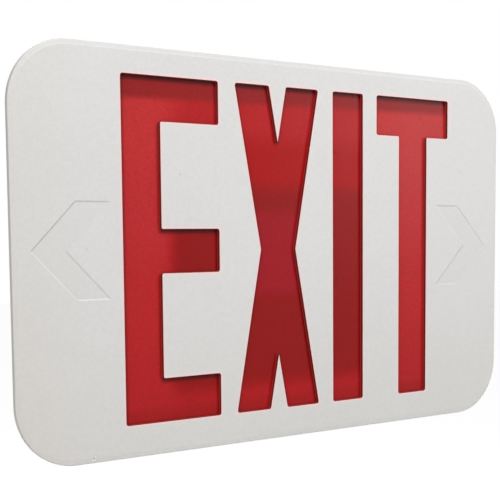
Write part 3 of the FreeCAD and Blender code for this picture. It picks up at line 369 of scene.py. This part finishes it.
def makeFaceMaterial():
    material, tree, shader, place = startMaterial("faceWhite")
    made = useGroup(tree, mouldGrain, place, Grain=resin["grain"], Waves=resin["waves"],
                    WaveShare=resin["waveShare"])
    depth = split(tree, place)["Y"]
    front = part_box("face_plate")[0].y
    colour = faceToneAndShade(tree, place, made["Tone"])
    colour = addSpecksAndHoleShading(tree, place, colour)
    colour = addReliefShadeAndHighlight(tree, depth, front, colour)
    colour = addCutShadeAndGlow(tree, place, depth, front, colour)
    plug(tree, colour, shader.inputs["Base Color"])
    varyRoughness(tree, shader, made["Tone"], face["roughLow"], face["roughHigh"])
    bump(tree, shader, made["Height"], resin["depth"])
    return material


dress(makeFaceMaterial(), "face_plate")
print("face plate dressed")

# red sheet: what stands behind it is painted on as soft darker panels of shade
sheet = dict(
    # painted light: the red is brighter towards the top
    rise=[(-0.076, (0.480, 0.0135, 0.0165, 1)), (-0.020, (0.530, 0.0195, 0.0215, 1)),
          (0.022, (0.550, 0.0260, 0.0300, 1)), (0.060, (0.580, 0.0320, 0.0330, 1))],
    cloudScale=28.0, cloudDetail=4.0, cloudLow=(0.95, 0.95, 0.95, 1), cloudHigh=(1.05, 1.05, 1.05, 1),
    grainScale=950.0, grainRough=0.7, grainLow=(0.72, 0.72, 0.72, 1), grainHigh=(1.28, 1.28, 1.28, 1),
    roughLow=0.24, roughHigh=0.34, shine=0.15, pebbleScale=900.0, pebbleDetail=2.0, pebbleDepth=0.00001,
    # painted shade of what stands behind it: a column as wide as the gear cover, the cover, its inner part
    # and the battery
    column=(0.470, 0.0090, 0.0115, 1), columnShare=0.75, columnSoft=0.0104, columnEnd=1.0,
    cover=(0.440, 0.0045, 0.0050, 1), coverSoft=0.0065, coverRise=0.005,
    inner=(0.315, 0.0055, 0.0055, 1), innerTop=0.0310, innerSoft=0.005,
    cell=(0.385, 0.0080, 0.0165, 1), cellLow=-0.020, cellHigh=0.019, cellLeft=-0.036, cellRight=0.014,
    # painted shade in bands along its top and foot, the upper one leaning a little
    topBand=(0.315, 0.0145, 0.0150, 1), topLevel=0.0708, topLean=0.016, bandSoft=0.0022,
    lowBand=(0.315, 0.0055, 0.0055, 1), lowLevel=-0.071, lowShare=0.35,
    # shade beside the walls of the letters, more below and to the right of a wall
    shade=(0, 0, 0, 1), shadeReach=0.0024, shadePower=1.7, shadeLean=(-0.9, 0.0, 1.0),
)


def addBehindShadePanels(tree, place, colour):
    low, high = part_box("gear_cover")
    wide = dict(Left=low.x, Right=high.x)
    column = dict(wide, Low=-sheet["columnEnd"], High=sheet["columnEnd"], Soft=sheet["columnSoft"])
    cover = dict(wide, Low=low.z, High=high.z + sheet["coverRise"], Soft=sheet["coverSoft"])
    inner = dict(wide, Low=low.z, High=sheet["innerTop"], Soft=sheet["innerSoft"])
    cell = dict(Left=sheet["cellLeft"], Right=sheet["cellRight"], Low=sheet["cellLow"],
                High=sheet["cellHigh"], Soft=sheet["innerSoft"])
    for panel, share, shown in ((column, sheet["columnShare"], sheet["column"]), (cover, 1.0, sheet["cover"]),
                                (inner, 1.0, sheet["inner"]), (cell, 1.0, sheet["cell"])):
        mask = useGroup(tree, softPanel, place, **panel)["Mask"]
        colour = blendColour(tree, mathNode(tree, "MULTIPLY", mask, share), colour, shown)
    return colour


def addShadeBands(tree, across, colour):
    soft = sheet["bandSoft"]
    level = mathNode(tree, "SUBTRACT", across["Z"], mathNode(tree, "MULTIPLY", across["X"], sheet["topLean"]))
    upper = smoothStep(tree, level, sheet["topLevel"] - soft, sheet["topLevel"] + soft)
    colour = blendColour(tree, upper, colour, sheet["topBand"])
    lower = smoothStep(tree, across["Z"], sheet["lowLevel"] + soft, sheet["lowLevel"] - soft)
    return blendColour(tree, mathNode(tree, "MULTIPLY", lower, sheet["lowShare"]), colour, sheet["lowBand"])


def addSheetShade(tree, colour):
    normal = addNode(tree, "ShaderNodeNewGeometry").outputs["Normal"]
    leant = vectorNode(tree, "ADD", normal, sheet["shadeLean"])["Vector"]
    edge = addNode(tree, "ShaderNodeAmbientOcclusion", samples=shadeSamples)
    edge.inputs["Distance"].default_value = sheet["shadeReach"]
    plug(tree, vectorNode(tree, "NORMALIZE", leant)["Vector"], edge.inputs["Normal"])
    lit = mathNode(tree, "POWER", edge.outputs["AO"], sheet["shadePower"])
    return blendColour(tree, lit, sheet["shade"], colour)


def makeSheetMaterial():
    material, tree, shader, place = startMaterial("diffuserRed")
    across = split(tree, place)
    colour = riseColour(tree, across["Z"], sheet["rise"])
    colour = addBehindShadePanels(tree, place, colour)
    colour = addShadeBands(tree, across, colour)
    clouds = noise(tree, place, sheet["cloudScale"], sheet["cloudDetail"])
    colour = tintColour(tree, 1.0, colour, blendColour(tree, clouds, sheet["cloudLow"], sheet["cloudHigh"]))
    grain = noise(tree, place, sheet["grainScale"], rough=sheet["grainRough"])
    colour = tintColour(tree, 1.0, colour, blendColour(tree, grain, sheet["grainLow"], sheet["grainHigh"]))
    plug(tree, addSheetShade(tree, colour), shader.inputs["Base Color"])
    varyRoughness(tree, shader, clouds, sheet["roughLow"], sheet["roughHigh"])
    shader.inputs["Specular IOR Level"].default_value = sheet["shine"]
    bump(tree, shader, noise(tree, place, sheet["pebbleScale"], sheet["pebbleDetail"]), sheet["pebbleDepth"])
    return material


dress(makeSheetMaterial(), "red_diffuser")
print("red sheet dressed")

# moulded plastics: the housing's resin is a little duller than the plate's
plastics = dict(
    housingWhite=dict(light=(0.785, 0.775, 0.76, 1), dark=(0.75, 0.738, 0.72, 1), roughLow=0.45,
                      roughHigh=0.6, on=["housing"]),
    coverGrey=dict(light=(0.30, 0.30, 0.32, 1), dark=(0.23, 0.23, 0.25, 1), roughLow=0.45, roughHigh=0.6,
                   on=["gear_cover"]),
    nylonBlack=dict(light=(0.035, 0.035, 0.037, 1), dark=(0.018, 0.018, 0.02, 1), roughLow=0.35,
                    roughHigh=0.5, on=["wiring_bushing", "indicator_clip"]),
    switchBlack=dict(light=(0.03, 0.03, 0.032, 1), dark=(0.014, 0.014, 0.016, 1), roughLow=0.25,
                     roughHigh=0.4, on=["test_switch_body"]),
    buttonRed=dict(light=(0.56, 0.030, 0.026, 1), dark=(0.46, 0.018, 0.016, 1), roughLow=0.2,
                   roughHigh=0.32, depth=0.000012, on=["test_button"]),
    plugCream=dict(light=(0.80, 0.75, 0.62, 1), dark=(0.72, 0.66, 0.52, 1), roughLow=0.35, roughHigh=0.5,
                   on=["battery_plug", "battery_socket"]),
    ferriteGrey=dict(light=(0.10, 0.10, 0.105, 1), dark=(0.05, 0.05, 0.055, 1), roughLow=0.55,
                     roughHigh=0.75, depth=0.00008, on=["transformer_core"]),
    filmYellow=dict(light=(0.74, 0.50, 0.06, 1), dark=(0.62, 0.38, 0.04, 1), roughLow=0.3, roughHigh=0.45,
                    on=["film_capacitor"]),
    epoxyBlack=dict(light=(0.035, 0.035, 0.04, 1), dark=(0.02, 0.02, 0.022, 1), roughLow=0.45,
                    roughHigh=0.6, on=["transfer_relay", "rectifier_diodes"]),
    terminalGreen=dict(light=(0.06, 0.32, 0.13, 1), dark=(0.04, 0.24, 0.09, 1), roughLow=0.35,
                       roughHigh=0.5, on=["mains_terminal_block"]),
    leadRed=dict(light=(0.55, 0.025, 0.02, 1), dark=(0.46, 0.015, 0.015, 1), roughLow=0.35, roughHigh=0.5,
                 on=["battery_leads"]),
    leadWhite=dict(light=(0.78, 0.77, 0.74, 1), dark=(0.70, 0.69, 0.66, 1), roughLow=0.35, roughHigh=0.5,
                   on=["led_leads_top", "led_leads_bottom"]),
    leadBlue=dict(light=(0.05, 0.12, 0.42, 1), dark=(0.03, 0.08, 0.32, 1), roughLow=0.35, roughHigh=0.5,
                  on=["switch_leads", "indicator_leads"]),
    sleeveViolet=dict(light=(0.20, 0.13, 0.48, 1), dark=(0.14, 0.09, 0.38, 1), roughLow=0.18,
                      roughHigh=0.3, waves=60.0, waveShare=3.0, on=["battery_pack"]),
    canBlack=dict(light=(0.05, 0.055, 0.09, 1), dark=(0.03, 0.033, 0.06, 1), roughLow=0.2, roughHigh=0.32,
                  on=["smoothing_capacitors"]),
    tapeAmber=dict(light=(0.70, 0.42, 0.05, 1), dark=(0.58, 0.32, 0.03, 1), roughLow=0.2, roughHigh=0.35,
                   waves=160.0, waveShare=2.0, on=["transformer_coil"]),
)
rub = dict(scale=420.0, share=0.06, colour=(0.6, 0.59, 0.57, 1))


def makePlasticMaterial(name, light, dark, roughLow, roughHigh, waves=resin["waves"],
                        waveShare=resin["waveShare"], depth=resin["depth"]):
    material, tree, shader, place = startMaterial(name)
    made = useGroup(tree, mouldGrain, place, Grain=resin["grain"], Waves=waves, WaveShare=waveShare)
    worn = useGroup(tree, handling, place, Scale=rub["scale"])
    colour = blendColour(tree, made["Tone"], dark, light)
    rubbed = mathNode(tree, "MULTIPLY", worn["Scratches"], rub["share"])
    plug(tree, blendColour(tree, rubbed, colour, rub["colour"]), shader.inputs["Base Color"])
    varyRoughness(tree, shader, worn["Patches"], roughLow, roughHigh)
    bump(tree, shader, made["Height"], depth)
    return material


# each look names the nodes that wear it
def dressAll(looks, makeMaterial):
    for name, look in looks.items():
        users = look.pop("on")
        dress(makeMaterial(name, **look), *users)


dressAll(plastics, makePlasticMaterial)
print("plastics dressed")

# metals: drawn or plated, with fine lines and dull patches
metals = dict(
    zincPlated=dict(light=(0.74, 0.74, 0.75, 1), dark=(0.58, 0.58, 0.60, 1), roughLow=0.22, roughHigh=0.42,
                    on=["gear_cover_screws", "battery_strap_screws", "driver_board_screws",
                        "led_strip_screws", "test_switch_nut", "battery_strap"]),
    tinnedPins=dict(light=(0.80, 0.80, 0.79, 1), dark=(0.66, 0.66, 0.66, 1), roughLow=0.25, roughHigh=0.4,
                    on=["test_switch_pins", "indicator_legs"]),
    platedBrass=dict(light=(0.80, 0.66, 0.34, 1), dark=(0.62, 0.48, 0.22, 1), roughLow=0.25,
                     roughHigh=0.42, on=["terminal_screws"]),
)
drawn = dict(scale=900.0, stretch=(0.2, 1.0, 0.2), depth=0.00001)


def makeMetalMaterial(name, light, dark, roughLow, roughHigh):
    material, tree, shader, place = startMaterial(name)
    worn = useGroup(tree, handling, place, Scale=drawn["scale"], Stretch=drawn["stretch"])
    plug(tree, blendColour(tree, worn["Patches"], light, dark), shader.inputs["Base Color"])
    shader.inputs["Metallic"].default_value = 1.0
    varyRoughness(tree, shader, worn["Scratches"], roughLow, roughHigh)
    bump(tree, shader, worn["Scratches"], drawn["depth"])
    return material


dressAll(metals, makeMetalMaterial)
print("metals dressed")

# boards: solder mask with copper tracks showing faintly through it
boards = dict(
    boardGreen=dict(mask=(0.025, 0.20, 0.075, 1), track=(0.05, 0.30, 0.11, 1), on=["driver_board"]),
    stripWhite=dict(mask=(0.82, 0.82, 0.80, 1), track=(0.74, 0.75, 0.73, 1),
                    on=["led_strip_top", "led_strip_bottom"]),
)
tracks = dict(scale=130.0, distortion=3.0, detailScale=0.6, edgeFrom=0.55, edgeTo=0.62, depth=0.00003,
              roughScale=80.0, roughLow=0.28, roughHigh=0.42)


def makeBoardMaterial(name, mask, track):
    material, tree, shader, place = startMaterial(name)
    wave = addNode(tree, "ShaderNodeTexWave", wave_type="BANDS", bands_direction="Z")
    wave.inputs["Scale"].default_value = tracks["scale"]
    wave.inputs["Distortion"].default_value = tracks["distortion"]
    wave.inputs["Detail Scale"].default_value = tracks["detailScale"]
    plug(tree, place, wave.inputs["Vector"])
    raised = smoothStep(tree, wave.outputs["Fac"], tracks["edgeFrom"], tracks["edgeTo"])
    plug(tree, blendColour(tree, raised, mask, track), shader.inputs["Base Color"])
    varyRoughness(tree, shader, noise(tree, place, tracks["roughScale"]), tracks["roughLow"],
                  tracks["roughHigh"])
    bump(tree, shader, raised, tracks["depth"])
    return material


dressAll(boards, makeBoardMaterial)

# chip: black body, tinned leads past its sides
chip = dict(body=(0.03, 0.03, 0.033, 1), leads=(0.78, 0.78, 0.77, 1), halfBody=0.00196,
            roughScale=400.0, roughLow=0.35, roughHigh=0.5, pitScale=3000.0, pitDepth=0.00002)


def makeChipMaterial():
    material, tree, shader, place = startMaterial("chipBody")
    low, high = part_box("control_chip")
    middle = (low.x + high.x) / 2
    away = mathNode(tree, "ABSOLUTE", mathNode(tree, "SUBTRACT", split(tree, place)["X"], middle))
    lead = mathNode(tree, "GREATER_THAN", away, chip["halfBody"])
    plug(tree, blendColour(tree, lead, chip["body"], chip["leads"]), shader.inputs["Base Color"])
    plug(tree, lead, shader.inputs["Metallic"])
    varyRoughness(tree, shader, noise(tree, place, chip["roughScale"]), chip["roughLow"], chip["roughHigh"])
    bump(tree, shader, noise(tree, place, chip["pitScale"]), chip["pitDepth"])
    return material


dress(makeChipMaterial(), "control_chip")

# light sources: yellow phosphor in a white package
leds = dict(phosphor=(0.80, 0.68, 0.22, 1), package=(0.82, 0.81, 0.77, 1), cellScale=1500.0,
            cellDetail=2.0, roughLow=0.25, roughHigh=0.4, depth=0.00001)


def makePhosphorMaterial():
    material, tree, shader, place = startMaterial("ledPhosphor")
    cells = noise(tree, place, leds["cellScale"], leds["cellDetail"])
    plug(tree, blendColour(tree, cells, leds["phosphor"], leds["package"]), shader.inputs["Base Color"])
    varyRoughness(tree, shader, cells, leds["roughLow"], leds["roughHigh"])
    bump(tree, shader, cells, leds["depth"])
    return material


dress(makePhosphorMaterial(), "leds_top", "leds_bottom")

# charge lamp: clear green plastic, unlit
chargeLamp = dict(light=(0.10, 0.52, 0.13, 1), dark=(0.06, 0.38, 0.09, 1), cloudScale=260.0,
                  cloudDetail=2.0, roughLow=0.08, roughHigh=0.16, clear=0.35, bend=1.52)


def makeLampMaterial():
    material, tree, shader, place = startMaterial("lampGreen")
    clouds = noise(tree, place, chargeLamp["cloudScale"], chargeLamp["cloudDetail"])
    plug(tree, blendColour(tree, clouds, chargeLamp["dark"], chargeLamp["light"]),
         shader.inputs["Base Color"])
    varyRoughness(tree, shader, clouds, chargeLamp["roughLow"], chargeLamp["roughHigh"])
    shader.inputs["Transmission Weight"].default_value = chargeLamp["clear"]
    shader.inputs["IOR"].default_value = chargeLamp["bend"]
    return material


dress(makeLampMaterial(), "indicator_lamp")
print("boards and lamps dressed")

# floor: plain and pale, it keeps the shadow and shows white to the camera
floor = dict(drop=0.42, reach=8.0, colour=(0.86, 0.86, 0.86, 1), lift=0.74, rough=0.9,
             patchScale=3.0, patchLow=(0.98, 0.98, 0.98, 1), patchHigh=(1, 1, 1, 1))
world = dict(ambient=0.27, seen=1.0, tint=(1.0, 1.0, 1.0, 1))


def seenDirectly(tree):
    # 1 for what the camera, a gloss or a glass looks at, 0 for the light that falls on things
    rays = addNode(tree, "ShaderNodeLightPath")
    seen = rays.outputs["Is Camera Ray"]
    for label in ("Is Glossy Ray", "Is Transmission Ray"):
        seen = mathNode(tree, "ADD", seen, rays.outputs[label], clamp=True)
    return seen


def makeFloorMaterial():
    material, tree, shader, place = startMaterial("floorPale")
    patches = blendColour(tree, noise(tree, place, floor["patchScale"]), floor["patchLow"],
                          floor["patchHigh"])
    plug(tree, tintColour(tree, 1.0, floor["colour"], patches), shader.inputs["Base Color"])
    shader.inputs["Roughness"].default_value = floor["rough"]
    shader.inputs["Specular IOR Level"].default_value = 0.0
    shader.inputs["Emission Color"].default_value = (1, 1, 1, 1)
    lift = mathNode(tree, "MULTIPLY", seenDirectly(tree), floor["lift"])
    plug(tree, lift, shader.inputs["Emission Strength"])
    return material


def makeFloor():
    mesh = bmesh.new()
    bmesh.ops.create_grid(mesh, x_segments=1, y_segments=1, size=floor["reach"])
    bmesh.ops.translate(mesh, verts=mesh.verts, vec=(0, 0, cadBox[0].z - floor["drop"]))
    data = bpy.data.meshes.new("floor")
    mesh.to_mesh(data)
    mesh.free()
    data.materials.append(makeFloorMaterial())
    ground = bpy.data.objects.new("floor", data)
    bpy.context.scene.collection.objects.link(ground)


def makeWorld():
    sky = bpy.data.worlds.new("studio")
    sky.use_nodes = True
    tree = sky.node_tree
    background = tree.nodes["Background"]
    background.inputs["Color"].default_value = world["tint"]
    strength = spread(tree, seenDirectly(tree), world["ambient"], world["seen"])
    plug(tree, strength, background.inputs["Strength"])
    bpy.context.scene.world = sky


makeFloor()
makeWorld()

# soft boxes: the key high in front, weak ones low at the sides, one for the back
softBoxes = [
    dict(name="keyBox", place=(0.08, -0.72, 0.84), power=8.3, size=0.6),
    dict(name="sideBox", place=(1.30, -1.25, 0.22), power=1.5, size=0.36),
    dict(name="fillBox", place=(-1.20, -0.50, 0.30), power=3.0, size=0.6),
    dict(name="backBox", place=(0.55, 1.30, 0.85), power=6.0, size=0.7),
]


def makeSoftBox(name, place, power, size):
    light = bpy.data.lights.new(name, "AREA")
    light.shape = "SQUARE"
    light.size = size
    light.energy = power
    lamp = bpy.data.objects.new(name, light)
    lamp.location = place
    lamp.rotation_euler = (-Vector(place)).to_track_quat("-Z", "Y").to_euler()
    bpy.context.scene.collection.objects.link(lamp)


for box in softBoxes:
    makeSoftBox(**box)

view = dict(place=(-0.34668, -0.4764, 0.00755), turn=(84.787, 0.503, -36.148), lens=81.65, sensor=36.0,
            shiftY=0.18, clipStart=0.01)


def makeCamera():
    data = bpy.data.cameras.new("camera")
    data.lens = view["lens"]
    data.sensor_width = view["sensor"]
    data.shift_y = view["shiftY"]
    data.clip_start = view["clipStart"]
    camera = bpy.data.objects.new("camera", data)
    camera.location = view["place"]
    camera.rotation_euler = Euler([math.radians(angle) for angle in view["turn"]])
    bpy.context.scene.collection.objects.link(camera)
    bpy.context.scene.camera = camera


makeCamera()
bpy.context.scene.view_settings.view_transform = "Standard"
print("stage, lights and camera made")
